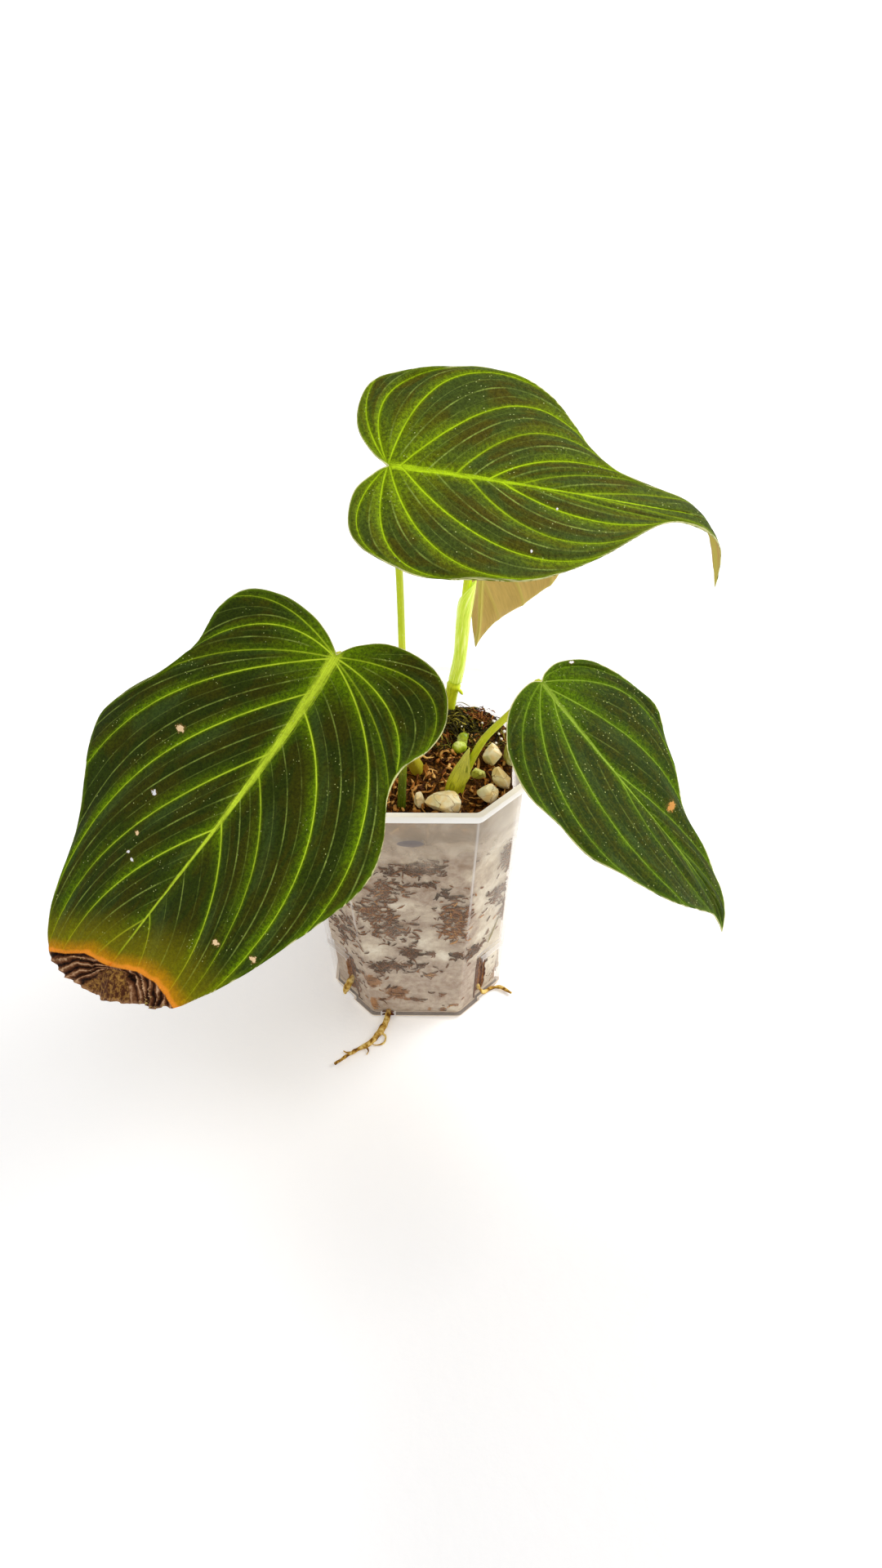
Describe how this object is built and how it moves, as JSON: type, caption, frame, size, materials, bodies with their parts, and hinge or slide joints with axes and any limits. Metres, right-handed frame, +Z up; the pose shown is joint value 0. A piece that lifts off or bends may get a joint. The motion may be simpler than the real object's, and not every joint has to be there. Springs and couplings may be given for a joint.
{
  "type": "potted splendid philodendron",
  "caption": "Young houseplant with large heart-shaped velvety leaves on slim stalks, in a tall clear square pot of bark mix with pumice and roots.",
  "frame": {"origin": "centre of the pot's underside, on the surface that the pot stands on", "axes": "+Z up; -Y towards the front, the side that the picture shows; +X to the viewer's right"},
  "size_m": [0.2148, 0.1786, 0.2512],
  "materials": {
    "clear_pot": "thin clear moulded plastic, slightly hazy, with bright edges",
    "bark_mix": "damp shredded bark and moss, matte, with dark crevices",
    "pumice": "dry porous cream pumice",
    "mossy_pumice": "pumice tinted green by algae",
    "petiole": "smooth yellow-green stalk, slightly waxy",
    "old_stem": "olive-yellow older stem, slightly waxy",
    "root": "matte orange-brown root skin",
    "sheath": "thin pale papery leaf sheath, translucent",
    "bud": "pale green bud, slightly waxy",
    "leaf_green": "velvety dark green blade with bright yellow-green veins",
    "leaf_dry": "dead, dry, pleated brown leaf tip",
    "leaf_bronze": "pinkish-beige underside of a young blade"
  },
  "bodies": {
    "root": {"pot": "clear_pot", "potting_mix": "bark_mix", "stone_front": "pumice", "stone_front_small": "pumice", "stone_right_top": "pumice", "stone_right_middle": "pumice", "stone_right_low": "pumice", "stone_mossy": "mossy_pumice", "stone_at_wall": "mossy_pumice", "stone_chip": "pumice", "petiole_top": "petiole", "petiole_left": "old_stem", "petiole_right": "petiole", "petiole_rear": "petiole", "stem_rear": "old_stem", "root_front": "root", "root_right": "root", "root_left": "root", "sheath_rear": "sheath", "bud": "bud", "leaf_top": "leaf_green", "leaf_left": "leaf_green", "leaf_left_dry_tip": "leaf_dry", "leaf_right": "leaf_green", "leaf_rear": "leaf_bronze"}
  },
  "joints": []
}
